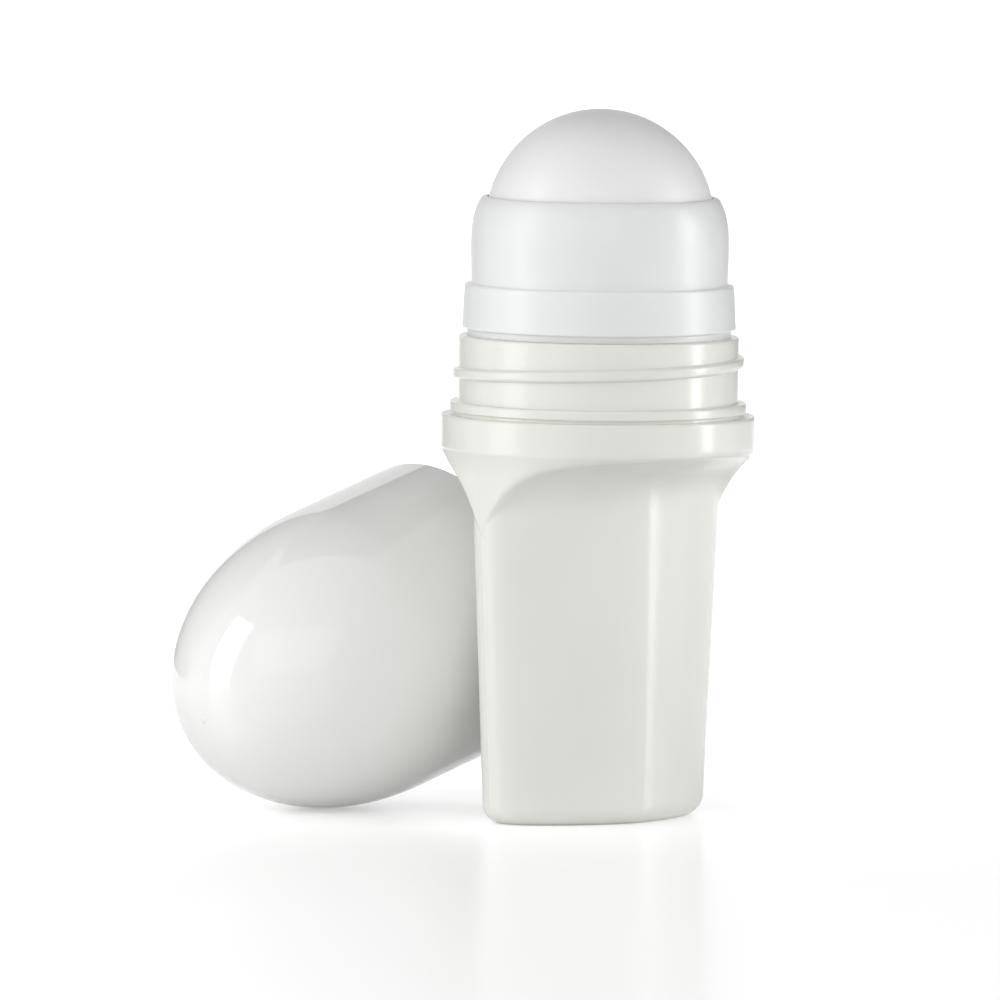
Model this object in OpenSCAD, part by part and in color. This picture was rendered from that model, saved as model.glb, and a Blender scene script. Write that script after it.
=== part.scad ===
// Roll-on bottle with its cap taken off, in millimetres.
// The origin is the centre of the bottle's foot on the standing plane, with +Z up.
// The broad front panel faces -Y and the narrow grip edges of the oval run down the -X and +X sides.

/* [Body] */
// Height of the shoulder that the closed cap sits on
shoulder_z = 63; // [60:0.5:70]
// How far the shoulder stands out past the neck
shoulder_step = 2.6; // [2.2:0.1:4]
// Height of the upright band at the shoulder
band_h = 5.2; // [4:0.1:8]
// Height of the waist, where the flare under the shoulder begins
waist_z = 47; // [42:0.5:49]
// Distance of the grip edges from the axis, at the waist
grip_waist_r = 22.9; // [21:0.1:23.4]
// Distance of the grip edges from the axis, at the foot
grip_foot_r = 20.4; // [18:0.1:21]
// Distance of the front and back panels from the axis, at the waist
panel_waist_r = 12.9; // [12:0.1:16]
// Distance of the front and back panels from the axis, at the foot
panel_foot_r = 12.4; // [11:0.1:14.5]
// Height at which the arched top of a panel starts from the grip edges
arch_foot_z = 44.5; // [42:0.1:50]
// How far the top of the arch stays below the shoulder band
arch_drop = 0.2; // [0:0.1:3]
// Width of the soft edges between the grip edges, the shoulder and the panels
edge_blend = 1.2; // [0.6:0.1:2]
// Radius round the foot of the bottle
foot_round = 3; // [2:0.1:4]
// Wall of the blown body
body_wall = 1.2; // [0.8:0.1:1.6]
// Depth of the dished foot
dish_h = 1.4; // [0.8:0.1:2]
// Diameter of the dished foot
dish_d = 15; // [10:0.5:16]

/* [Neck] */
// How far the neck's outer face stands out past the ball
neck_step = 4.02; // [3.9:0.02:4.2]
// Height of the neck above the shoulder
neck_h = 12.2; // [11:0.1:14]
// Wall of the neck
neck_wall = 2.2; // [1.8:0.1:2.4]
// How far the bead round the root of the neck stands out
bead_proud = 1.3; // [0.7:0.1:1.7]
// Thickness of the bead
bead_h = 1.5; // [1:0.1:2]
// Height of the step between the shoulder and the bead
bead_step = 0.5; // [0.3:0.1:1]

/* [Ball] */
// Diameter of the ball
ball_d = 35.56; // [34.6:0.02:35.8]
// Wall of the hollow ball
ball_wall = 1.8; // [1:0.1:3]
// How far the lowest point of the ball sits below the rim of the neck
ball_sink = 0.38; // [0:0.02:0.8]

/* [Ball housing] */
// Running gap between the ball and its seat
seat_gap = 0.25; // [0.15:0.05:0.35]
// Wall of the cup under the ball
cup_wall = 1.4; // [1:0.1:1.6]
// Height of the retaining lip above the centre of the ball
lip_rise = 4.1; // [3.5:0.1:5]
// Wall of the retaining lip
lip_wall = 1; // [0.6:0.1:1.2]
// Wall of the collar round the ball, where it is thickest
collar_wall = 2; // [1.8:0.1:2.4]
// How far the flange's upper edge stays inside the neck's outer face
flange_step = 0.9; // [0.6:0.1:1.2]
// Height of the flange
flange_h = 6.9; // [5:0.1:7.5]
// Gap that shows between the flange and the rim of the neck
flange_gap = 1.1; // [0.6:0.1:1.6]
// Depth of the plug in the bore of the neck
plug_h = 10; // [7:0.5:11]
// Wall of the plug
plug_wall = 1.3; // [1:0.1:1.8]
// Clearance of the plug in the bore
plug_gap = 0.05; // [0.02:0.01:0.1]
// Diameter of the middle feed hole under the ball
feed_d = 9; // [6:0.5:10]
// Number of small feed holes round the middle one
feed_count = 6; // [4:1:8]
// Diameter of a small feed hole
feed_small_d = 3.4; // [2:0.1:3.6]

/* [Cap] */
// How far below the centre of the ball the closed cap's dome begins
dome_low = 6.8; // [4:0.2:7.6]
// Height of the dome
dome_h = 33; // [31:0.1:34]
// Wall of the cap
cap_wall = 1.5; // [1:0.1:1.6]
// Depth of the wide mouth that takes the thread
mouth_h = 11; // [10:0.5:13]
// Room between the neck and the cap's wide mouth, for the thread
mouth_gap = 1.05; // [0.95:0.05:1.15]
// Wall of the cap round its mouth
rim_wall = 0.85; // [0.75:0.05:1.3]
// How much the cap draws in from its rim to the dome
cap_draft = 0.1; // [0:0.05:0.4]
// Radius of the ring inside the dome that presses on the ball
press_r = 10; // [7:0.5:12]
// Wall of the ring inside the dome
press_wall = 1.2; // [0.8:0.1:1.6]
// How far the closed cap's ring stays above the ball
press_gap = 0.1; // [0.05:0.05:0.2]

/* [Cap at rest] */
// Direction of the cap's axis on the table, from +X towards +Y
cap_turn = 5; // [0:1:15]
// Rise of the cap's axis towards its open end
cap_tilt = 16.5; // [12:0.5:20]
// Gap between the leaning cap and the back of the bottle
cap_lean_gap = 0.3; // [0.2:0.1:1]
// How far the cap's rim reaches along its own direction, past the axis of the bottle
cap_reach = 3; // [-2:0.1:6]

/* [Hidden] */

$fn = 96;
overrun = 1;
edge_r = 0.35;
// Ledge inside the shoulder, at the foot of the neck's bore
ledge = 0.4;

// Shares that give the flare and the oval their shape
grip_flare_share = 3.6;
panel_flare_share = 4.6;
oval_tip_share = 1.02;
oval_power_share = 1.58;
// Angle from the grip edge over which the arch rises most
arch_spread_angle = 17;
// Rings and sides of the blown body
around = 72;
inner_around = 32;
foot_rings = 5;
flare_rings = 10;
inner_flare_rings = 5;
// Steps round the arcs of the dish, the cup and the dome, and up the collar
dish_step_angle = 18;
cup_step_angle = 6;
dome_step_angle = 3.75;
collar_step_share = 0.1;
// How quickly the collar draws in towards the lip, and how far the flange's foot stands out
collar_curve_share = 3;
flange_flare_share = 1 / 3;

band_z = shoulder_z - band_h;
arch_top_z = band_z - arch_drop;
ball_r = ball_d / 2;
neck_r = ball_r + neck_step;
bore_r = neck_r - neck_wall;
shoulder_r = neck_r + shoulder_step;
bead_r = neck_r + bead_proud;
neck_top_z = shoulder_z + neck_h;
bead_z = shoulder_z + bead_step;
ball_z = neck_top_z + ball_r - ball_sink;
socket_r = ball_r + seat_gap;
flange_z = neck_top_z + flange_gap;
flange_top_z = flange_z + flange_h;
lip_z = ball_z + lip_rise;
lip_inner_r = sqrt(pow(socket_r, 2) - pow(lip_rise, 2));
plug_r = bore_r - plug_gap;
cup_r = socket_r + cup_wall;
collar_r = socket_r + collar_wall;
flange_r = neck_r - flange_step;
mouth_r = neck_r + mouth_gap;
cap_r = mouth_r + rim_wall;
dome_r = cap_r - cap_draft;
cap_seat_z = bead_z + bead_h;
cap_skirt_h = ball_z - cap_seat_z - dome_low;

function mix(a, b, share) = a + (b - a) * share;
function clamp(v, low, high) = max(low, min(high, v));
// The lower of two radii, with a soft edge where they meet
function soft_min(a, b, blend) =
    let (near = max(blend - abs(a - b), 0)) min(a, b) - near * near / (4 * blend);

// Radius of the grip edges and of the shoulder above the arch
function grip_r(z) =
    let (taper = mix(grip_foot_r, grip_waist_r, clamp(z / waist_z, 0, 1)),
         up = clamp((z - waist_z) / (band_z - waist_z), 0, 1))
    mix(taper, shoulder_r, pow(up, grip_flare_share));

// Radius of the oval that the panels lie on, at an angle from the grip edge
function oval_r(angle, z) =
    let (share = clamp(z / waist_z, 0, 1),
         depth = mix(panel_foot_r, panel_waist_r, share),
         reach = mix(grip_foot_r, grip_waist_r, share) * oval_tip_share)
    pow(pow(cos(angle) / reach, oval_power_share) + pow(sin(angle) / depth, oval_power_share),
        -1 / oval_power_share);

// Height of the arched top edge of a panel
function arch_z(angle) = mix(arch_top_z, arch_foot_z, exp(-angle / arch_spread_angle));

// Radius of the scooped panel under the arch; above the arch it stays clear of the shoulder
function scoop_r(angle, z) =
    let (top = arch_z(angle),
         up = max(z - waist_z, 0) / max(top - waist_z, edge_r),
         reach = grip_r(top) - oval_r(angle, top))
    z > top ? grip_r(z) + z - top : oval_r(angle, z) + reach * pow(up, panel_flare_share);

// How far the rounded lower edge of the foot is drawn in
function foot_inset(z) =
    z >= foot_round ? 0 : foot_round - sqrt(pow(foot_round, 2) - pow(foot_round - z, 2));
function shoulder_inset(z) = max(z - (shoulder_z - edge_r), 0);

// Radius of the body at any turn, the same in each quarter
function body_r(turn, z) =
    let (half = turn > 180 ? 360 - turn : turn,
         angle = half > 90 ? 180 - half : half)
    soft_min(grip_r(z), scoop_r(angle, z), edge_blend) - foot_inset(z) - shoulder_inset(z);

// Radius of the space inside, drawn in below the neck
function inside_r(turn, z) =
    min(body_r(turn, max(z, foot_round)) - body_wall, bore_r + ledge + inside_top_z - z);

function steps(from, to, count) = [for (i = [1:count]) mix(from, to, i / count)];
function foot_heights(count) = [for (i = [0:count]) foot_round * (1 - cos(90 * i / count))];
body_heights = concat(foot_heights(foot_rings), [waist_z], steps(waist_z, band_z, flare_rings),
                      [band_z + edge_blend, shoulder_z - edge_r, shoulder_z]);
inside_floor_z = dish_h + body_wall;
inside_top_z = band_z + body_wall;
inside_heights = concat([inside_floor_z, inside_floor_z + foot_round, waist_z],
                        steps(waist_z, inside_top_z, inner_flare_rings));

function ring_points(r, z, sides) =
    [for (j = [0:sides - 1]) let (turn = 360 * j / sides) [-r[j] * cos(turn), -r[j] * sin(turn), z]];
function side_faces(rings, sides) =
    [for (i = [0:rings - 2], j = [0:sides - 1])
        let (k = (j + 1) % sides)
        each [[i * sides + j, (i + 1) * sides + j, (i + 1) * sides + k],
              [i * sides + j, (i + 1) * sides + k, i * sides + k]]];
function end_faces(rings, sides) =
    [[for (j = [0:sides - 1]) j], [for (j = [sides - 1:-1:0]) (rings - 1) * sides + j]];

module lofted_body() {
    points = [for (z = body_heights) each
        ring_points([for (j = [0:around - 1]) body_r(360 * j / around, z)], z, around)];
    polyhedron(points, concat(side_faces(len(body_heights), around),
                              end_faces(len(body_heights), around)));
}

module lofted_inside() {
    points = [for (z = inside_heights) each
        ring_points([for (j = [0:inner_around - 1]) inside_r(360 * j / inner_around, z)],
                    z, inner_around)];
    polyhedron(points, concat(side_faces(len(inside_heights), inner_around),
                              end_faces(len(inside_heights), inner_around)));
}

// Blown bottle: tapered oval body, round shoulder band, neck with its bead
module bottle() {
    color([0.93, 0.93, 0.91])
    difference() {
        union() {
            lofted_body();
            rotate_extrude() neck_profile();
        }
        lofted_inside();
        translate([0, 0, inside_top_z - body_wall / 2]) cylinder(r = bore_r, h = neck_top_z);
        foot_dish();
    }
}

module neck_profile() {
    polygon([
        [0, inside_top_z + body_wall],
        [neck_r, inside_top_z + body_wall],
        [neck_r, bead_z],
        [bead_r - edge_r, bead_z],
        [bead_r, bead_z + edge_r],
        [bead_r, bead_z + bead_h - edge_r],
        [bead_r - edge_r, bead_z + bead_h],
        [neck_r, bead_z + bead_h],
        [neck_r, neck_top_z - edge_r],
        [neck_r - edge_r, neck_top_z],
        [0, neck_top_z]
    ]);
}

// Shallow dish pressed up into the foot, so that the bottle stands on a ring
module foot_dish() {
    dish_r = dish_d / 2;
    rotate_extrude()
    polygon(concat(
        [[0, -overrun], [dish_r, -overrun]],
        [for (angle = [0:dish_step_angle:90 - dish_step_angle]) [dish_r * cos(angle), dish_h * sin(angle)]],
        [[0, dish_h * cos(dish_step_angle)]]
    ));
}

// Snap-in fitment: collar and lip round the ball, cup with feed holes, flange and plug
module ball_housing() {
    color([0.84, 0.9, 0.91])
    difference() {
        rotate_extrude() housing_profile();
        translate([0, 0, ball_z]) sphere(r = socket_r);
        translate([0, 0, neck_top_z - plug_h]) cylinder(d = feed_d, h = ball_z - neck_top_z);
        for (i = [0:feed_count - 1])
            rotate([0, 0, 360 * i / feed_count])
            translate([feed_d / 2 + feed_small_d, 0, neck_top_z - plug_h])
            cylinder(d = feed_small_d, h = ball_z - neck_top_z);
    }
}

// Half section of the fitment, from the plug up the outside and back down the cup
module housing_profile() {
    cup_edge_r = plug_r - plug_wall;
    cup_edge_z = flange_top_z - cup_wall;
    lip_outer_r = lip_inner_r + lip_wall;
    flange_foot_r = flange_r + flange_gap * flange_flare_share;
    bead_mid_z = neck_top_z - plug_h / 2;
    snap = plug_gap / 2;
    cup = [for (angle = [0:cup_step_angle:90])
        if (cup_r * sin(angle) < cup_edge_r - edge_r && ball_z - cup_r * cos(angle) < cup_edge_z)
            [cup_r * sin(angle), ball_z - cup_r * cos(angle)]];
    collar = [for (share = [0:collar_step_share:1])
        [mix(collar_r, lip_outer_r, pow(share, collar_curve_share)),
         mix(ball_z - lip_rise, lip_z - edge_r, share)]];
    polygon(concat(
        [[0, lip_z]],
        cup,
        [
            [cup_edge_r, cup_edge_z],
            [cup_edge_r, neck_top_z - plug_h],
            [plug_r - edge_r, neck_top_z - plug_h],
            [plug_r, neck_top_z - plug_h + plug_wall],
            [plug_r, bead_mid_z - edge_r],
            [plug_r + snap, bead_mid_z],
            [plug_r, bead_mid_z + edge_r],
            [plug_r, neck_top_z],
            [neck_r - plug_wall, neck_top_z],
            [neck_r - plug_wall, flange_z],
            [flange_foot_r - edge_r, flange_z],
            [flange_foot_r, flange_z + edge_r],
            [flange_r, flange_top_z - edge_r],
            [flange_r - edge_r, flange_top_z],
            [collar_r - edge_r / 2, flange_top_z]
        ],
        collar,
        [[lip_outer_r - edge_r, lip_z]]
    ));
}

// Hollow ball, free to turn in its socket
module ball() {
    color([0.95, 0.95, 0.94])
    translate([0, 0, ball_z])
    difference() {
        sphere(r = ball_r);
        sphere(r = ball_r - ball_wall);
    }
}

// Cap, drawn upright with its rim at z = 0 and its dome upwards
module cap_shell() {
    press_z = ball_z - cap_seat_z + sqrt(pow(ball_r, 2) - pow(press_r, 2)) + press_gap;
    rotate_extrude() cap_profile();
    // Ring that holds the ball down when the cap is on, its top end sunk half way into the dome's wall
    rotate_extrude()
    polygon([
        [press_r, press_z],
        [press_r + press_wall, press_z],
        [press_r + press_wall, dome_z(press_r + press_wall, cap_wall / 2)],
        [press_r, dome_z(press_r, cap_wall / 2)]
    ]);
}

// Height of the dome over a radius, a depth below its outer face
function dome_z(r, depth) =
    cap_skirt_h + (dome_h - depth) * sqrt(1 - pow(r / (dome_r - depth), 2));
// Arc of the dome from its root to its tip, a depth below its outer face
function dome_arc(depth, angles) =
    [for (angle = angles) [(dome_r - depth) * cos(angle), cap_skirt_h + (dome_h - depth) * sin(angle)]];

module cap_profile() {
    polygon(concat(
        [
            [mouth_r, 0],
            [cap_r - edge_r, 0],
            [cap_r, edge_r]
        ],
        dome_arc(0, [0:dome_step_angle:90]),
        dome_arc(cap_wall, [90:-dome_step_angle:0]),
        [
            [dome_r - cap_wall, mouth_h + cap_wall],
            [mouth_r, mouth_h]
        ]
    ));
}

// How far the bottle's oval reaches at a height, in the direction that the cap leans from
function lean_reach(z) =
    let (share = clamp(z / waist_z, 0, 1),
         power = oval_power_share / (oval_power_share - 1),
         across = mix(grip_foot_r, grip_waist_r, share) * oval_tip_share * sin(cap_turn),
         deep = mix(panel_foot_r, panel_waist_r, share) * cos(cap_turn))
    pow(pow(across, power) + pow(deep, power), 1 / power);

// The cap's dome rests on the table and its side leans on the back of the bottle, rim lifted
module cap() {
    dome_drop = sqrt(pow(dome_h * sin(cap_tilt), 2) + pow(dome_r * cos(cap_tilt), 2));
    rim_z = dome_drop + cap_skirt_h * sin(cap_tilt);
    color([0.95, 0.95, 0.94])
    rotate([0, 0, cap_turn])
    translate([cap_reach, lean_reach(rim_z) + cap_lean_gap + cap_r, rim_z])
    rotate([0, -90 - cap_tilt, 0])
    cap_shell();
}

bottle();
ball_housing();
ball();
cap();
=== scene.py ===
import math

import bmesh
import bpy
from mathutils import Matrix, Vector


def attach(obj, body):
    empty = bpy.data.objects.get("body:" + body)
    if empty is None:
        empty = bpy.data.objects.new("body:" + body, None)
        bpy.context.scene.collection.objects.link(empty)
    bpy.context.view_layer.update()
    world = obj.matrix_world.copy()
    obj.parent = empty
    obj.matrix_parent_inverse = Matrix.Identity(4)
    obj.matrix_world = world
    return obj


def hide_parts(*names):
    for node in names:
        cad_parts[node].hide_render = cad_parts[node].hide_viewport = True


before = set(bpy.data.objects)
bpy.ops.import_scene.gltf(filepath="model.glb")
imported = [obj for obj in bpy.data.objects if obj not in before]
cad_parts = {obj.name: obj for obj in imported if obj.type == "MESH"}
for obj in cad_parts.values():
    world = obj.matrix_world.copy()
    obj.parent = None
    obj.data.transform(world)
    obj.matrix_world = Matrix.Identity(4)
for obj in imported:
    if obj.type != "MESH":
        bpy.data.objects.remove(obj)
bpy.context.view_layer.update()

# Sizes are in millimetres and angles in degrees, unless a comment says otherwise.
# MM turns millimetres into metres.
MM = 0.001

# Bottle: heights from the table, radii from its axis.
SHOULDER_Z, BAND_H, WAIST_Z = 63.0, 5.2, 47.0
SHOULDER_R, BAND_START = 24.4, 1.5
GRIP_WAIST_R, GRIP_FOOT_R = 22.9, 20.4
PANEL_WAIST_R, PANEL_FOOT_R = 12.9, 12.4
ARCH_FOOT_Z, ARCH_TOP_Z, ARCH_LEAD, EDGE_BLEND = 44.5, 57.6, 1.0, 1.2
FOOT_ROUND, BODY_WALL, DISH_H, DISH_R, DISH_LAND = 3.0, 1.2, 1.4, 7.5, 0.4
NECK_R, NECK_H, BORE_R = 21.8, 12.2, 19.6
BEAD_R, BEAD_H, BEAD_STEP, BEAD_ROOT = 23.1, 1.5, 0.5, 0.9
CEILING_STEP, CEILING_DROP = 0.4, 0.5
EDGE_R = 0.35

# Powers and shares that give the flare, the arch and the oval their shape.
GRIP_FLARE, PANEL_FLARE = 3.6, 4.6
TIP_SHARE, OVAL_POWER, ARCH_SPREAD = 1.02, 1.58, 17.0

# The mould's parting line stands out a little, down both grip edges, and fades under the band.
PARTING_PROUD, PARTING_HALF_WIDTH, PARTING_FADE = 0.05, 0.16, 2.0

# Ball, and the fitment that holds it. SOCKET_END is where the socket stops under the ball, as
# an angle up from the ball's middle.
BALL_R, BALL_RISE, SEAT_GAP, CUP_WALL = 17.78, 17.4, 0.25, 1.4
LIP_RISE, LIP_WALL, LIP_LAND = 4.1, 1.0, 0.3
COLLAR_R, COLLAR_STEP, COLLAR_POWER = 20.03, 0.15, 3
FLANGE_R, FLANGE_H, FLANGE_GAP = 20.9, 6.9, 1.1
FLANGE_FLARE = FLANGE_GAP / 3
PLUG_H, PLUG_WALL, PLUG_GAP, PLUG_LEAD, PLUG_LEAD_H = 10.0, 1.3, 0.05, 0.3, 1.3
FEED_R, FEED_COUNT, FEED_SMALL_R, DRILL_EXTRA = 4.5, 6, 1.7, 8
SOCKET_END = -75

# Cap, and how it rests.
CAP_R, DOME_R, CAP_SKIRT_H, DOME_H, CAP_WALL = 23.7, 23.6, 20.8, 33.0, 1.5
MOUTH_H, MOUTH_R, PRESS_R, PRESS_WALL, PRESS_GAP = 11.0, 22.85, 10.0, 1.2, 0.1
GATE_R, GATE_TIP_R, GATE_PROUD, GATE_EDGE, GATE_SUNK = 0.6, 0.35, 0.12, 0.05, 0.4
CAP_TURN, CAP_TILT, CAP_LEAN_GAP, CAP_REACH = 5.0, 16.5, 0.3, 3.0

# Screw thread on the neck and in the cap's mouth, where it stands inwards. A runout is the
# share of the thread over which each end swells.
THREAD_LEAD, THREAD_START_Z, THREAD_WIDTH, THREAD_CREST = 4.4, 67.55, 2.4, 1.2
THREAD_START_TURN, THREAD_TURNS = 0.02, 1.17
THREAD_PROUD, THREAD_ROOT, THREAD_RUNOUT = 0.85, 0.4, 0.06
CAP_THREAD_PROUD, CAP_THREAD_ROOT, CAP_THREAD_RUNOUT = -0.45, -0.4, 0.05
CAP_THREAD_START, CAP_THREAD_START_ANGLE = 1.6, 60

# How fine the meshes are: points round each ring, how much closer together they stand at the
# grip edges, rings along each stretch, and degrees from ring to ring on the round parts.
SIDES, CLOSER_POWER = 360, 1.3
FOOT_STEPS, PANEL_STEPS, ARCH_STEPS, INSIDE_STEPS = 14, 20, 64, 12
COLLAR_STEPS, SOCKET_STEPS, BALL_STEPS = 12, 24, 120
DISH_ANGLE, CUP_ANGLE, DOME_ANGLE = 9, 2, 1.5
THREAD_STEPS, CREST_STEPS, DRILL_SIDES = 160, 4, 40
POLE_R = 1e-6

# What follows from the sizes above.
BAND_Z = SHOULDER_Z - BAND_H
NECK_TOP_Z = SHOULDER_Z + NECK_H
BEAD_Z = SHOULDER_Z + BEAD_STEP
BALL_Z = NECK_TOP_Z + BALL_RISE
SOCKET_R = BALL_R + SEAT_GAP
CUP_R = SOCKET_R + CUP_WALL
FLANGE_Z = NECK_TOP_Z + FLANGE_GAP
INSIDE_FLOOR_Z = DISH_H + BODY_WALL
INSIDE_TOP_Z = BAND_Z + BODY_WALL


def sine(degrees):
    return math.sin(math.radians(degrees))


def cosine(degrees):
    return math.cos(math.radians(degrees))


def mix(a, b, share):
    return a + (b - a) * share


def limited(share):
    return min(max(share, 0), 1)


def soft_min(a, b, blend):
    """The smaller of two sizes, eased where they meet."""
    near = max(blend - abs(a - b), 0)
    return min(a, b) - near * near / (4 * blend)


def steps(start, end, count):
    """Values after start, up to and with end."""
    return [mix(start, end, (i + 1) / count) for i in range(count)]


# ---- Blown body: an oval with arched, scooped panels in front and behind, between grip edges ----


def grip_radius(z):
    """Radius out to the grip edge: a taper up to the waist, then a flare to the shoulder."""
    taper = mix(GRIP_FOOT_R, GRIP_WAIST_R, limited(z / WAIST_Z))
    up = limited((z - WAIST_Z) / (BAND_Z - WAIST_Z))
    return mix(taper, SHOULDER_R, up**GRIP_FLARE)


def oval_radius(angle, z):
    """Radius of the oval that the panels lie on, at an angle from the grip edge."""
    share = limited(z / WAIST_Z)
    depth = mix(PANEL_FOOT_R, PANEL_WAIST_R, share)
    reach = mix(GRIP_FOOT_R, GRIP_WAIST_R, share) * TIP_SHARE
    across = max(cosine(angle) / reach, 0) ** OVAL_POWER
    deep = (sine(angle) / depth) ** OVAL_POWER
    return (across + deep) ** (-1 / OVAL_POWER)


def arch_height(angle):
    """Height at which the panel's scoop runs out, at an angle from the grip edge."""
    return mix(ARCH_TOP_Z, ARCH_FOOT_Z, math.exp(-angle / ARCH_SPREAD))


def scoop_radius(angle, z):
    """Radius of a panel: the oval, flaring out above the waist until it meets the grip's flare."""
    top = arch_height(angle)
    if z > top:
        return grip_radius(z) + z - top
    up = max(z - WAIST_Z, 0) / max(top - WAIST_Z, EDGE_R)
    reach = grip_radius(top) - oval_radius(angle, top)
    return oval_radius(angle, z) + reach * up**PANEL_FLARE


def quarter_angle(turn):
    """Angle from the nearest grip edge, because all four quarters of the body are alike."""
    half = 360 - turn if turn > 180 else turn
    return 180 - half if half > 90 else half


def body_radius(turn, z):
    return soft_min(grip_radius(z), scoop_radius(quarter_angle(turn), z), EDGE_BLEND)


def parting_line(turn, z):
    """How far the parting line stands out: only at the grip edges, and not up on the shoulder."""
    away = math.radians(quarter_angle(turn)) * GRIP_WAIST_R / PARTING_HALF_WIDTH
    return PARTING_PROUD * math.exp(-(away**2)) * limited((BAND_Z - z) / PARTING_FADE)


def foot_inset(z):
    """How far the rounded foot draws in at a height above its lowest point."""
    if z >= FOOT_ROUND:
        return 0
    return FOOT_ROUND - math.sqrt(FOOT_ROUND**2 - (FOOT_ROUND - z) ** 2)


# ---- Meshes from rings of points ----


def ring_turns():
    """Turns from the -X side, closer together at both grip edges, where the edges are sharp."""
    quarter = SIDES // 4
    rising = [90 * (j / quarter) ** CLOSER_POWER for j in range(quarter)]
    falling = [180 - t for t in [90, *reversed(rising[1:])]]
    half = rising + falling
    return half + [180 + t for t in half]


TURNS = ring_turns()


def ring(radii, z):
    """Points round the axis, from the -X side and anticlockwise seen from above."""
    return [Vector((-r * cosine(t), -r * sine(t), z)) for r, t in zip(radii, TURNS, strict=True)]


def round_ring(r, z):
    return [Vector((0, 0, z))] if r < POLE_R else ring([r] * SIDES, z)


# A rounding takes up no more than ROUND_ROOM of either side. A side that is longer than
# FLAT_LEAST roundings gets a point HOLD_FLAT roundings from its corner, which keeps it flat.
ROUND_ROOM, FLAT_LEAST, HOLD_FLAT = 0.45, 3, 1.25
ROUND_SHARES = (0, 0.17, 0.34, 0.5, 0.66, 0.83, 1)


def corners_rounded(corners, closed=False):
    """A half section of (radius, height, rounding) corners, as a line with its corners rounded."""
    line = []
    count = len(corners)
    for i, (r, z, rounding) in enumerate(corners):
        here = Vector((r, z))
        if not rounding or (not closed and i in (0, count - 1)):
            line.append(here)
            continue
        before = Vector(corners[i - 1][:2]) - here
        after = Vector(corners[(i + 1) % count][:2]) - here
        back, on = before.normalized(), after.normalized()
        room = min(rounding, before.length * ROUND_ROOM, after.length * ROUND_ROOM)
        start, end = here + back * room, here + on * room
        if before.length > FLAT_LEAST * room:
            line.append(here + back * room * HOLD_FLAT)
        for s in ROUND_SHARES:
            line.append(start * (1 - s) ** 2 + here * 2 * s * (1 - s) + end * s**2)
        if after.length > FLAT_LEAST * room:
            line.append(here + on * room * HOLD_FLAT)
    return line


def new_object(name, data):
    """An object in the scene for a mesh, a lamp or a camera."""
    made = bpy.data.objects.new(name, data)
    bpy.context.scene.collection.objects.link(made)
    return made


def face_outwards(mesh):
    """Turns a closed mesh's faces round if they point into it."""
    shape = bmesh.new()
    shape.from_mesh(mesh)
    if shape.calc_volume(signed=True) < 0:
        bmesh.ops.reverse_faces(shape, faces=shape.faces)
    shape.to_mesh(mesh)
    shape.free()


def skin(name, rings, material, place=None, closed=False):
    """A piece whose faces join each ring to the next. A ring of one point is a pole."""
    points, starts = [], []
    for one in rings:
        starts.append(len(points))
        points += one
    pairs = [(low, low + 1) for low in range(len(rings) - 1)]
    if closed:
        pairs.append((len(rings) - 1, 0))
    faces = []
    for low, high in pairs:
        a, b = starts[low], starts[high]
        for j in range(SIDES):
            k = (j + 1) % SIDES
            if len(rings[low]) == 1:
                faces.append((a, b + k, b + j))
            elif len(rings[high]) == 1:
                faces.append((a + j, a + k, b))
            else:
                faces.append((a + j, a + k, b + k, b + j))
    if place:
        points = [place @ p for p in points]
    mesh = bpy.data.meshes.new(name)
    mesh.from_pydata([p * MM for p in points], [], faces)
    mesh.validate()
    face_outwards(mesh)
    mesh.shade_smooth()
    mesh.materials.append(material)
    return new_object(name, mesh)


def spun(name, corners, material, place=None, closed=False):
    """A piece turned about the axis from its half section."""
    rings = [round_ring(p.x, p.y) for p in corners_rounded(corners, closed)]
    return skin(name, rings, material, place, closed)


# ---- Node trees ----


def add_node(tree, kind, inputs=None, **settings):
    """A new node. An input that is a socket is linked to it, and any other is its value."""
    node = tree.nodes.new(kind)
    for label, value in settings.items():
        setattr(node, label, value)
    for label, value in (inputs or {}).items():
        if isinstance(value, bpy.types.NodeSocket):
            tree.links.new(value, node.inputs[label])
        else:
            node.inputs[label].default_value = value
    return node


def arithmetic(tree, operation, a, b):
    return add_node(tree, "ShaderNodeMath", {0: a, 1: b}, operation=operation).outputs[0]


def object_coordinates(tree):
    return add_node(tree, "ShaderNodeTexCoord").outputs["Object"]


def directly_seen(tree):
    """1 for what the camera, a gloss or a clear piece sees, and 0 for what lights the object."""
    paths = add_node(tree, "ShaderNodeLightPath").outputs
    seen = paths["Is Camera Ray"]
    for other in ("Is Glossy Ray", "Is Transmission Ray"):
        seen = arithmetic(tree, "MAXIMUM", seen, paths[other])
    return seen


def new_shape_tree(name, sizes):
    """A tree that takes geometry, these sizes and a plastic. Also gives its inputs to link from."""
    tree = bpy.data.node_groups.new(name, "GeometryNodeTree")
    face = tree.interface
    face.new_socket("Geometry", in_out="INPUT", socket_type="NodeSocketGeometry")
    for label, value in sizes.items():
        kind = "NodeSocketInt" if isinstance(value, int) else "NodeSocketFloat"
        face.new_socket(label, in_out="INPUT", socket_type=kind).default_value = value
    face.new_socket("Plastic", in_out="INPUT", socket_type="NodeSocketMaterial")
    face.new_socket("Geometry", in_out="OUTPUT", socket_type="NodeSocketGeometry")
    return tree, add_node(tree, "NodeGroupInput").outputs


def end_shape_tree(tree, geometry, plastic):
    """Ends a tree: plain geometry, made of the plastic."""
    real = add_node(tree, "GeometryNodeRealizeInstances", {"Geometry": geometry})
    paint = {"Geometry": real.outputs["Geometry"], "Material": plastic}
    painted = add_node(tree, "GeometryNodeSetMaterial", paint)
    add_node(tree, "NodeGroupOutput", {"Geometry": painted.outputs["Geometry"]})


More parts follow.
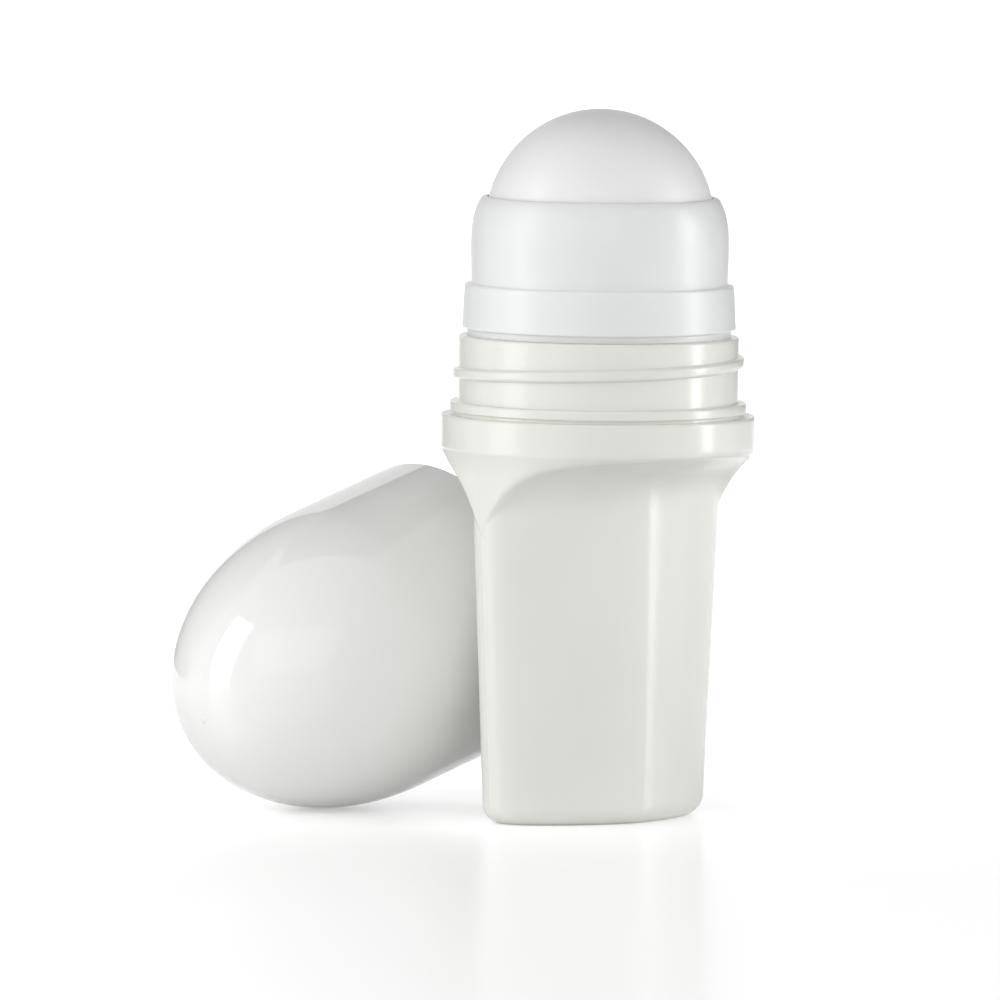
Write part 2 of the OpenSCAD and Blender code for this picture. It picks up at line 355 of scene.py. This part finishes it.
def made_by_tree(name, tree, sizes, start=None, place=None):
    """A plain mesh made by a tree, with sizes by the names of its inputs, then moved by place."""
    maker = start or new_object(name + "_maker", bpy.data.meshes.new(name + "_maker"))
    modifier = maker.modifiers.new("shape", "NODES")
    modifier.node_group = tree
    sockets = {s.name: s.identifier for s in tree.interface.items_tree if s.in_out == "INPUT"}
    for label, value in sizes.items():
        modifier[sockets[label]] = value
    evaluated = maker.evaluated_get(bpy.context.evaluated_depsgraph_get())
    mesh = bpy.data.meshes.new_from_object(evaluated)
    bpy.data.objects.remove(maker)
    if place:
        mesh.transform(place)
    face_outwards(mesh)
    mesh.name = name
    return new_object(name, mesh)


# ---- Materials ----

# How far light sinks into the plastics, in metres, and how far each colour of it does.
PLASTIC_IOR, SINK_DEPTH, SINK_SHARES = 1.49, 0.002, (1, 0.95, 0.9)
# Noise scales of the tone, the gloss, the slow wave and the grain, and the part of the noise
# in use.
TONE_SCALE, GLOSS_SCALE, WAVE_SCALE, GRAIN_SCALE = 55.0, 160.0, 70.0, 900.0
NOISE_LOW, NOISE_HIGH = 0.3, 0.7
# The roughness of a surface drifts between these shares of its value.
GLOSSIEST, DULLEST = 0.9, 1.12
# Heights of the wave and the grain, in metres.
WAVE_DEPTH, GRAIN_DEPTH = 0.0004, 0.0001


def plastic(name, colour, roughness, soft, grain=0.0, tone=0.012, wave=0.0):
    """A moulded plastic. soft is how much light sinks in, and grain its fine unevenness.
    tone is how far its colour drifts from place to place, and wave how far a wall is from true."""
    material = bpy.data.materials.new(name)
    material.use_nodes = True
    tree = material.node_tree
    shader = tree.nodes["Principled BSDF"].inputs
    shader["IOR"].default_value = PLASTIC_IOR
    shader["Subsurface Weight"].default_value = soft
    shader["Subsurface Radius"].default_value = SINK_SHARES
    shader["Subsurface Scale"].default_value = SINK_DEPTH
    where = object_coordinates(tree)

    def cloud(scale, detail):
        noise = {"Vector": where, "Scale": scale, "Detail": detail}
        return add_node(tree, "ShaderNodeTexNoise", noise).outputs["Fac"]

    def spread(noise, low, high):
        ends = {"From Min": NOISE_LOW, "From Max": NOISE_HIGH, "To Min": low, "To Max": high}
        return add_node(tree, "ShaderNodeMapRange", {"Value": noise, **ends}).outputs["Result"]

    # Colour: the wall's thickness drifts, so the tone does too.
    tones = {
        "Factor": spread(cloud(TONE_SCALE, 2), 0, 1),
        "A": (*[c * (1 - tone) for c in colour], 1),
        "B": (*[min(c * (1 + tone), 1) for c in colour], 1),
    }
    drift = add_node(tree, "ShaderNodeMix", tones, data_type="RGBA")
    tree.links.new(drift.outputs["Result"], shader["Base Color"])
    # Gloss: handling leaves it a little uneven.
    gloss = spread(cloud(GLOSS_SCALE, 3), roughness * GLOSSIEST, roughness * DULLEST)
    tree.links.new(gloss, shader["Roughness"])
    # Surface: fine grain from the mould, over a slow wave.
    normal = {}
    for strength, scale, detail, depth in (
        (wave, WAVE_SCALE, 1, WAVE_DEPTH),
        (grain, GRAIN_SCALE, 2, GRAIN_DEPTH),
    ):
        if strength:
            relief = {"Strength": strength, "Distance": depth, "Height": cloud(scale, detail)}
            bump = add_node(tree, "ShaderNodeBump", {**relief, **normal})
            normal = {"Normal": bump.outputs["Normal"]}
    if normal:
        tree.links.new(normal["Normal"], shader["Normal"])
    return material


blown_white = plastic(
    "blown_white", (0.79, 0.796, 0.745), 0.215, soft=0.12, grain=0.1, wave=0.05
)
fitment_natural = plastic(
    "fitment_natural", (0.81, 0.824, 0.816), 0.33, soft=0.35, grain=0.04, tone=0.015
)
ball_white = plastic("ball_white", (0.855, 0.855, 0.855), 0.4, soft=0.1, grain=0.06)
cap_gloss = plastic("cap_gloss", (0.9, 0.903, 0.884), 0.05, soft=0.08, tone=0.006, wave=0.02)


# ---- Bottle ----


def bottle_rings():
    """The dish and the foot, up the outside, over the neck's rim, and down the inside."""
    foot = [FOOT_ROUND * (1 - cosine(90 * i / FOOT_STEPS)) for i in range(FOOT_STEPS + 1)]
    arch_start = ARCH_FOOT_Z - ARCH_LEAD
    rings = [round_ring(DISH_R * cosine(a), DISH_H * sine(a)) for a in range(90, -1, -DISH_ANGLE)]
    rings.append(round_ring(DISH_R + DISH_LAND, 0))
    for z in [
        *foot,
        *steps(FOOT_ROUND, arch_start, PANEL_STEPS),
        *steps(arch_start, BAND_Z + EDGE_BLEND, ARCH_STEPS),
    ]:
        inset = foot_inset(z)
        rings.append(ring([body_radius(t, z) + parting_line(t, z) - inset for t in TURNS], z))
    neck = [
        (SHOULDER_R, BAND_Z + BAND_START, 0),
        (SHOULDER_R, SHOULDER_Z, 0.5),
        (NECK_R + BEAD_ROOT, SHOULDER_Z, 0.15),
        (NECK_R + BEAD_ROOT, BEAD_Z, 0.15),
        (BEAD_R, BEAD_Z, 0.3),
        (BEAD_R, BEAD_Z + BEAD_H, 0.5),
        (NECK_R, BEAD_Z + BEAD_H, 0.35),
        (NECK_R, NECK_TOP_Z, 0.5),
        (BORE_R, NECK_TOP_Z, 0.4),
        (BORE_R, INSIDE_TOP_Z, 0.3),
        (BORE_R + CEILING_STEP, INSIDE_TOP_Z, 0),
    ]
    rings += [round_ring(p.x, p.y) for p in corners_rounded(neck)]
    down = [*reversed(steps(WAIST_Z, INSIDE_TOP_Z - CEILING_DROP, INSIDE_STEPS)), WAIST_Z]
    for z in down + [INSIDE_FLOOR_Z + h for h in reversed(foot)]:
        ceiling = BORE_R + CEILING_STEP + INSIDE_TOP_Z - z
        inset = foot_inset(z - INSIDE_FLOOR_Z)
        rings.append(ring([min(body_radius(t, z) - BODY_WALL, ceiling) - inset for t in TURNS], z))
    return [*rings, round_ring(0, INSIDE_FLOOR_Z)]


bottle = skin("bottle_shell", bottle_rings(), blown_white)
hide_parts("bottle")
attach(bottle, "bottle")


# ---- Thread: a rib that follows a spiral, for the neck and for the cap's mouth ----

# The rounding of the crest as a share of half its width, and how each end swells.
CREST_ROUND_SHARE, RUNOUT_POWER, RUNOUT_LEAST = 0.55, 0.6, 0.05


def thread_tree():
    """A rib along a right-handed spiral about the axis. Each size is in metres."""
    sizes = {
        "Radius": 0.02,
        "Turns": 1.0,
        "Lead": 0.004,
        "Root": 0.0025,
        "Crest": 0.0015,
        "Proud": 0.001,
        "Sunk": 0.0005,
        "Runout": 0.05,
    }
    tree, given = new_shape_tree("spiral_rib", sizes)
    path = {
        "Resolution": THREAD_STEPS,
        "Reverse": True,
        "Rotations": given["Turns"],
        "Start Radius": given["Radius"],
        "End Radius": given["Radius"],
        "Height": arithmetic(tree, "MULTIPLY", given["Turns"], given["Lead"]),
    }
    spiral = add_node(tree, "GeometryNodeCurveSpiral", path)
    upright = add_node(
        tree, "GeometryNodeSetCurveNormal", {"Curve": spiral.outputs["Curve"]}, mode="Z_UP"
    )

    # The rib's section: its root is sunk into the wall that carries it.
    def corner(out, along):
        return add_node(tree, "ShaderNodeCombineXYZ", {"X": out, "Y": along}).outputs[0]

    half_root = arithmetic(tree, "DIVIDE", given["Root"], 2.0)
    half_crest = arithmetic(tree, "DIVIDE", given["Crest"], 2.0)
    sunk = arithmetic(tree, "MULTIPLY", given["Sunk"], -1.0)
    corners = {
        "Point 1": corner(sunk, arithmetic(tree, "MULTIPLY", half_root, -1.0)),
        "Point 2": corner(given["Proud"], arithmetic(tree, "MULTIPLY", half_crest, -1.0)),
        "Point 3": corner(given["Proud"], half_crest),
        "Point 4": corner(sunk, half_root),
    }
    section = add_node(tree, "GeometryNodeCurvePrimitiveQuadrilateral", corners, mode="POINTS")
    rounding = {
        "Curve": section.outputs["Curve"],
        "Count": CREST_STEPS,
        "Radius": arithmetic(tree, "MULTIPLY", half_crest, CREST_ROUND_SHARE),
    }
    rounded = add_node(tree, "GeometryNodeFilletCurve", rounding, mode="POLY")

    # Both ends run out into the wall.
    along = add_node(tree, "GeometryNodeSplineParameter").outputs["Factor"]
    nearest = arithmetic(tree, "MINIMUM", along, arithmetic(tree, "SUBTRACT", 1.0, along))
    run = arithmetic(tree, "DIVIDE", nearest, given["Runout"])
    swell = arithmetic(tree, "POWER", arithmetic(tree, "MINIMUM", run, 1.0), RUNOUT_POWER)

    sweep = {
        "Curve": upright.outputs["Curve"],
        "Profile Curve": rounded.outputs["Curve"],
        "Scale": arithmetic(tree, "MAXIMUM", swell, RUNOUT_LEAST),
        "Fill Caps": True,
    }
    rib = add_node(tree, "GeometryNodeCurveToMesh", sweep)
    smooth = add_node(tree, "GeometryNodeSetShadeSmooth", {"Geometry": rib.outputs["Mesh"]})
    end_shape_tree(tree, smooth.outputs["Geometry"], given["Plastic"])
    return tree


spiral_rib = thread_tree()

THREAD_SIZES = {
    "Turns": THREAD_TURNS,
    "Lead": THREAD_LEAD * MM,
    "Root": THREAD_WIDTH * MM,
    "Crest": THREAD_CREST * MM,
}
neck_thread_sizes = {
    **THREAD_SIZES,
    "Radius": NECK_R * MM,
    "Proud": THREAD_PROUD * MM,
    "Sunk": THREAD_ROOT * MM,
    "Runout": THREAD_RUNOUT,
    "Plastic": blown_white,
}
neck_thread_place = Matrix.Translation((0, 0, THREAD_START_Z * MM)) @ Matrix.Rotation(
    2 * math.pi * THREAD_START_TURN, 4, "Z"
)
neck_thread = made_by_tree("neck_thread", spiral_rib, neck_thread_sizes, place=neck_thread_place)
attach(neck_thread, "bottle")


# ---- Fitment and ball ----


def housing_corners():
    """Half section of the fitment, all the way round: out under the cup from its feed hole,
    down and up the plug, over the flange and the collar to the lip, and down the socket."""
    lip_z = BALL_Z + LIP_RISE
    lip_r = math.sqrt(SOCKET_R**2 - LIP_RISE**2)
    plug_r = BORE_R - PLUG_GAP
    edge_r = plug_r - PLUG_WALL
    edge_z = FLANGE_Z + FLANGE_H - CUP_WALL
    plug_z = NECK_TOP_Z - PLUG_H
    cup = []
    for a in range(0, 91, CUP_ANGLE):
        r, z = CUP_R * sine(a), BALL_Z - CUP_R * cosine(a)
        if FEED_R < r < edge_r - EDGE_R and z < edge_z:
            cup.append((r, z, 0))
    collar = []
    for i in range(COLLAR_STEPS + 1):
        s = i / COLLAR_STEPS
        r = mix(COLLAR_R, lip_r + LIP_WALL, s**COLLAR_POWER)
        collar.append((r, mix(BALL_Z - LIP_RISE, lip_z - LIP_LAND, s), 0))
    socket_start = math.degrees(math.asin(LIP_RISE / SOCKET_R))
    socket = []
    for i in range(SOCKET_STEPS + 1):
        a = mix(socket_start, SOCKET_END, i / SOCKET_STEPS)
        socket.append((SOCKET_R * cosine(a), BALL_Z + SOCKET_R * sine(a), 0))
    return [
        (FEED_R, BALL_Z - math.sqrt(CUP_R**2 - FEED_R**2), 0),
        *cup,
        (edge_r, edge_z, 0.3),
        (edge_r, plug_z, 0.4),
        (plug_r - PLUG_LEAD, plug_z, 0.3),
        (plug_r, plug_z + PLUG_LEAD_H, 0.3),
        (plug_r, NECK_TOP_Z, 0),
        (NECK_R - PLUG_WALL, NECK_TOP_Z, 0.1),
        (NECK_R - PLUG_WALL, FLANGE_Z, 0.2),
        (FLANGE_R + FLANGE_FLARE, FLANGE_Z, 0.5),
        (FLANGE_R, FLANGE_Z + FLANGE_H, 0.6),
        (COLLAR_R - COLLAR_STEP, FLANGE_Z + FLANGE_H, 0.25),
        *collar,
        (lip_r + LIP_WALL - LIP_LAND, lip_z, 0.15),
        *socket,
        (FEED_R, BALL_Z - math.sqrt(SOCKET_R**2 - FEED_R**2), 0),
    ]


def drill_tree():
    """Round holes, evenly spaced on a circle about the axis, cut through what the tree is given.
    Each size is in metres."""
    sizes = {
        "Holes": 6,
        "Circle Radius": 0.008,
        "Hole Radius": 0.0017,
        "Middle Height": 0.07,
        "Depth": 0.01,
    }
    tree, given = new_shape_tree("drilled_circle", sizes)
    spacing = {"Vertices": given["Holes"], "Radius": given["Circle Radius"]}
    circle = add_node(tree, "GeometryNodeMeshCircle", spacing).outputs["Mesh"]
    upward = add_node(tree, "ShaderNodeCombineXYZ", {"Z": given["Middle Height"]}).outputs[0]
    lifted = add_node(tree, "GeometryNodeSetPosition", {"Geometry": circle, "Offset": upward})
    bit = {"Vertices": DRILL_SIDES, "Radius": given["Hole Radius"], "Depth": given["Depth"]}
    drill = add_node(tree, "GeometryNodeMeshCylinder", bit).outputs["Mesh"]
    stand = {"Points": lifted.outputs["Geometry"], "Instance": drill}
    each = add_node(tree, "GeometryNodeInstanceOnPoints", stand).outputs["Instances"]
    drills = add_node(tree, "GeometryNodeRealizeInstances", {"Geometry": each})
    both = {"Mesh 1": given["Geometry"], "Mesh 2": drills.outputs["Geometry"]}
    cut = add_node(tree, "GeometryNodeMeshBoolean", both, operation="DIFFERENCE")
    end_shape_tree(tree, cut.outputs["Mesh"], given["Plastic"])
    return tree


SHARP_ANGLE = 35
feed_holes = {
    "Holes": FEED_COUNT,
    "Circle Radius": (FEED_R + 2 * FEED_SMALL_R) * MM,
    "Hole Radius": FEED_SMALL_R * MM,
    "Middle Height": (NECK_TOP_Z - PLUG_H / 2) * MM,
    "Depth": (PLUG_H + DRILL_EXTRA) * MM,
    "Plastic": fitment_natural,
}
housing_blank = spun("ball_housing_blank", housing_corners(), fitment_natural, closed=True)
housing = made_by_tree("ball_housing_shell", drill_tree(), feed_holes, start=housing_blank)
housing.data.set_sharp_from_angle(angle=math.radians(SHARP_ANGLE))
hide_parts("ball_housing")
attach(housing, "bottle")


def ball_rings():
    """From the ball's lowest point to its highest, with a pole at each."""
    rings = []
    for i in range(BALL_STEPS + 1):
        a = -90 + 180 * i / BALL_STEPS
        r = BALL_R * cosine(a) if 0 < i < BALL_STEPS else 0
        rings.append(round_ring(r, BALL_Z + BALL_R * sine(a)))
    return rings


ball = skin("roller_ball", ball_rings(), ball_white)
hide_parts("ball")
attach(ball, "ball")


# ---- Cap ----


def lean_reach(z):
    """How far the bottle's oval reaches at a height, towards the cap that leans on it."""
    share = limited(z / WAIST_Z)
    power = OVAL_POWER / (OVAL_POWER - 1)
    across = mix(GRIP_FOOT_R, GRIP_WAIST_R, share) * TIP_SHARE * sine(CAP_TURN)
    deep = mix(PANEL_FOOT_R, PANEL_WAIST_R, share) * cosine(CAP_TURN)
    return (across**power + deep**power) ** (1 / power)


def cap_place():
    """Turns an upright cap, its rim at z = 0, to where it rests: its dome on the table, and its
    side on the back of the bottle."""
    dome_low = math.hypot(DOME_H * sine(CAP_TILT), DOME_R * cosine(CAP_TILT))
    rim_z = dome_low + CAP_SKIRT_H * sine(CAP_TILT)
    return (
        Matrix.Rotation(math.radians(CAP_TURN), 4, "Z")
        @ Matrix.Translation((CAP_REACH, lean_reach(rim_z) + CAP_LEAN_GAP + CAP_R, rim_z))
        @ Matrix.Rotation(-math.pi / 2 - math.radians(CAP_TILT), 4, "Y")
    )


def dome(depth, angles):
    """Corners of the dome, or of a dome that lies this depth inside it."""
    corners = []
    for a in angles:
        r = (DOME_R - depth) * cosine(a) if a < 90 else 0
        corners.append((r, CAP_SKIRT_H + (DOME_H - depth) * sine(a), 0))
    return corners


def cap_corners():
    """Half section of the cap, from the crown down the inside, round the rim and up again."""
    angles = [a * DOME_ANGLE for a in range(round(90 / DOME_ANGLE) + 1)]
    return [
        *dome(CAP_WALL, reversed(angles)),
        (DOME_R - CAP_WALL, MOUTH_H + CAP_WALL, 0.3),
        (MOUTH_R, MOUTH_H, 0.3),
        (MOUTH_R, 0, 0.25),
        (CAP_R, 0, 0.4),
        *dome(0, angles),
    ]


cap = spun("cap_shell", cap_corners(), cap_gloss, cap_place())
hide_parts("cap")
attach(cap, "cap")


def gate_corners():
    """Half section of the mark that the mould's gate leaves: a low pip on the dome's tip."""
    tip = CAP_SKIRT_H + DOME_H
    return [
        (0, tip + GATE_PROUD, 0),
        (GATE_TIP_R, tip + GATE_PROUD, 0),
        (GATE_R, tip - GATE_EDGE, 0.1),
        (GATE_R, tip - GATE_SUNK, 0),
        (0, tip - GATE_SUNK, 0),
    ]


gate = spun("cap_gate_mark", gate_corners(), cap_gloss, cap_place())
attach(gate, "cap")


def press_ring_corners():
    """Half section of the ring inside the dome that holds the ball down when the cap is on."""
    start = BALL_Z - (BEAD_Z + BEAD_H) + math.sqrt(BALL_R**2 - PRESS_R**2) + PRESS_GAP
    in_wall = CAP_WALL / 2
    inner, outer = PRESS_R, PRESS_R + PRESS_WALL

    def dome_z(r):
        share = math.sqrt(1 - (r / (DOME_R - in_wall)) ** 2)
        return CAP_SKIRT_H + (DOME_H - in_wall) * share

    return [
        (inner, start, 0.3),
        (inner, dome_z(inner), 0),
        (outer, dome_z(outer), 0),
        (outer, start, 0.3),
    ]


press_ring = spun("cap_press_ring", press_ring_corners(), cap_gloss, cap_place(), closed=True)
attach(press_ring, "cap")

# The cap's thread meets the underside of the neck's when it is screwed on.
cap_thread_sizes = {
    **THREAD_SIZES,
    "Radius": MOUTH_R * MM,
    "Proud": CAP_THREAD_PROUD * MM,
    "Sunk": CAP_THREAD_ROOT * MM,
    "Runout": CAP_THREAD_RUNOUT,
    "Plastic": cap_gloss,
}
cap_thread_place = (
    Matrix.Scale(MM, 4)
    @ cap_place()
    @ Matrix.Scale(1 / MM, 4)
    @ Matrix.Translation((0, 0, CAP_THREAD_START * MM))
    @ Matrix.Rotation(math.radians(CAP_THREAD_START_ANGLE), 4, "Z")
)
cap_thread = made_by_tree("cap_thread", spiral_rib, cap_thread_sizes, place=cap_thread_place)
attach(cap_thread, "cap")


# ---- Floor, light and camera ----

# The floor reaches FLOOR_HALF each way, and FLOOR_MIDDLE is a place on it in front of the bottle.
# From FLOOR_NEAR to FLOOR_FAR away from there, the lift of the floor grows from LIFT_NEAR to
# LIFT_FAR. A strength of 1 is white.
FLOOR_HALF, FLOOR_MIDDLE, FLOOR_NEAR, FLOOR_FAR = 12000.0, (-92.4, -118.2, 0), 80, 350
LIFT_NEAR, LIFT_FAR, WORLD_FILL, WHITE = 0.27, 0.75, 0.58, 1.0
FLOOR_WHITE, POLISH_WHITE = (0.93, 0.93, 0.93, 1), (0.9, 0.9, 0.9, 1)
POLISH_ROUGHNESS, POLISH_SHARE = 0.22, 0.36


def stage_floor():
    """A glossy white floor. Where it is seen it is lifted to white, and it keeps the shadow."""
    material = bpy.data.materials.new("floor_white")
    material.use_nodes = True
    tree = material.node_tree
    tree.nodes.clear()
    matt = add_node(tree, "ShaderNodeBsdfDiffuse", {"Color": FLOOR_WHITE})
    gloss = {"Color": POLISH_WHITE, "Roughness": POLISH_ROUGHNESS}
    polish = add_node(tree, "ShaderNodeBsdfGlossy", gloss)
    layers = {"Fac": POLISH_SHARE, 1: matt.outputs[0], 2: polish.outputs[0]}
    surface = add_node(tree, "ShaderNodeMixShader", layers)
    # The lamps already brighten the floor near the object, so it is lifted less there.
    away = add_node(
        tree,
        "ShaderNodeVectorMath",
        {0: object_coordinates(tree), 1: [c * MM for c in FLOOR_MIDDLE]},
        operation="DISTANCE",
    )
    ends = {
        "Value": away.outputs["Value"],
        "From Min": FLOOR_NEAR * MM,
        "From Max": FLOOR_FAR * MM,
        "To Min": LIFT_NEAR,
        "To Max": LIFT_FAR,
    }
    level = add_node(tree, "ShaderNodeMapRange", ends, interpolation_type="SMOOTHSTEP")
    lift = arithmetic(tree, "MULTIPLY", directly_seen(tree), level.outputs["Result"])
    glow = add_node(tree, "ShaderNodeEmission", {"Strength": lift})
    both = add_node(tree, "ShaderNodeAddShader", {0: surface.outputs[0], 1: glow.outputs[0]})
    add_node(tree, "ShaderNodeOutputMaterial", {"Surface": both.outputs[0]})
    half = FLOOR_HALF * MM
    mesh = bpy.data.meshes.new("floor")
    corners = [(-half, -half, 0), (half, -half, 0), (half, half, 0), (-half, half, 0)]
    mesh.from_pydata(corners, [], [(0, 1, 2, 3)])
    mesh.materials.append(material)
    floor = new_object("floor", mesh)


def studio_world():
    """White to the camera and to reflections, and a softer fill for everything else."""
    world = bpy.data.worlds.new("studio")
    bpy.context.scene.world = world
    world.use_nodes = True
    tree = world.node_tree
    ends = {"Value": directly_seen(tree), "To Min": WORLD_FILL, "To Max": WHITE}
    level = add_node(tree, "ShaderNodeMapRange", ends)
    background = tree.nodes["Background"].inputs
    background["Color"].default_value = (1, 1, 1, 1)
    tree.links.new(level.outputs["Result"], background["Strength"])


# The camera stands well away in front, turned towards the -X side, and CAMERA_ABOVE degrees over
# the shoulder. It looks at a point beside the bottle's middle. PIXELS_PER_MM is its scale there.
CAMERA_AZIMUTH, CAMERA_ABOVE, CAMERA_ROLL, CAMERA_DISTANCE = -38, 4.2, 0.65, 2000.0
AIM_Z, AIM_LEFT = 49.4, 15.05
PIXELS_PER_MM, IMAGE_SIDE, SENSOR, CLIP_END = 6.44, 1000, 36.0, 60000.0
CAMERA_Z = SHOULDER_Z + math.tan(math.radians(CAMERA_ABOVE)) * CAMERA_DISTANCE
camera_rise = math.atan((CAMERA_Z - AIM_Z) / CAMERA_DISTANCE)
right = Vector((cosine(CAMERA_AZIMUTH), sine(CAMERA_AZIMUTH), 0))
towards = Vector(
    (
        sine(CAMERA_AZIMUTH) * math.cos(camera_rise),
        -cosine(CAMERA_AZIMUTH) * math.cos(camera_rise),
        math.sin(camera_rise),
    )
)


def studio_camera():
    aim = Vector((0, 0, AIM_Z)) - right * AIM_LEFT
    data = bpy.data.cameras.new("camera")
    data.sensor_width = SENSOR
    data.lens = PIXELS_PER_MM * CAMERA_DISTANCE / IMAGE_SIDE * SENSOR
    data.clip_end = CLIP_END * MM
    camera = new_object("camera", data)
    bpy.context.scene.camera = camera
    camera.location = (aim + towards * CAMERA_DISTANCE) * MM
    roll = Matrix.Rotation(math.radians(CAMERA_ROLL), 3, towards).to_quaternion()
    camera.rotation_mode = "QUATERNION"
    camera.rotation_quaternion = roll @ (-towards).to_track_quat("-Z", "Y")


# Lamps and cards face this point.
LIGHT_AIM = Vector((0, 0, 50.0))


def direction(azimuth, rise):
    """From the object, azimuth to the right of the camera and rise up from the table."""
    ahead = Vector((towards.x, towards.y, 0)).normalized()
    level = ahead * cosine(azimuth) + right * sine(azimuth)
    return level * cosine(rise) + Vector((0, 0, sine(rise)))


def softbox(name, azimuth, rise, distance, width, height, power):
    """A soft lamp of a size, in a direction from the object. Its power is in watts."""
    data = bpy.data.lights.new(name, "AREA")
    data.shape = "RECTANGLE"
    data.size, data.size_y = width * MM, height * MM
    data.energy = power
    lamp = new_object(name, data)
    out = direction(azimuth, rise)
    lamp.location = (LIGHT_AIM + out * distance) * MM
    lamp.rotation_mode = "QUATERNION"
    lamp.rotation_quaternion = (-out).to_track_quat("-Z", "Y")
    lamp.visible_camera = False


def matt_card(name, azimuth, rise, distance, width, height, shade):
    """A matt card that takes light and reflections away from one side. The camera doesn't
    see it."""
    material = bpy.data.materials.new(name)
    material.use_nodes = True
    shader = material.node_tree.nodes["Principled BSDF"].inputs
    shader["Base Color"].default_value = (shade, shade, shade, 1)
    shader["Roughness"].default_value = 1.0
    out = direction(azimuth, rise)
    across = Vector((-out.y, out.x, 0)).normalized()
    upward = out.cross(across)
    centre = out * distance + LIGHT_AIM
    corners = [
        (centre + across * s * width / 2 + upward * u * height / 2) * MM
        for s, u in ((-1, -1), (1, -1), (1, 1), (-1, 1))
    ]
    mesh = bpy.data.meshes.new(name)
    mesh.from_pydata(corners, [], [(0, 1, 2, 3)])
    mesh.materials.append(material)
    card = new_object(name, mesh)
    card.visible_camera = False


stage_floor()
studio_world()
studio_camera()
softbox("softbox_left", -72, 15, 520, 220, 480, power=0.95)
softbox("softbox_front", -12, 24, 1400, 1500, 900, power=3.25)
softbox("softbox_right", 86, 10, 560, 110, 420, power=1.2)
softbox("softbox_right_back", 112, 10, 560, 100, 400, power=0.15)
matt_card("dark_card_right", 135, 25, 420, 470, 440, shade=0.03)
matt_card("grey_card_left", -135, 22, 420, 400, 440, shade=0.4)
matt_card("dark_card_above", 160, 62, 420, 560, 420, shade=0.03)

bpy.context.scene.view_settings.view_transform = "Standard"
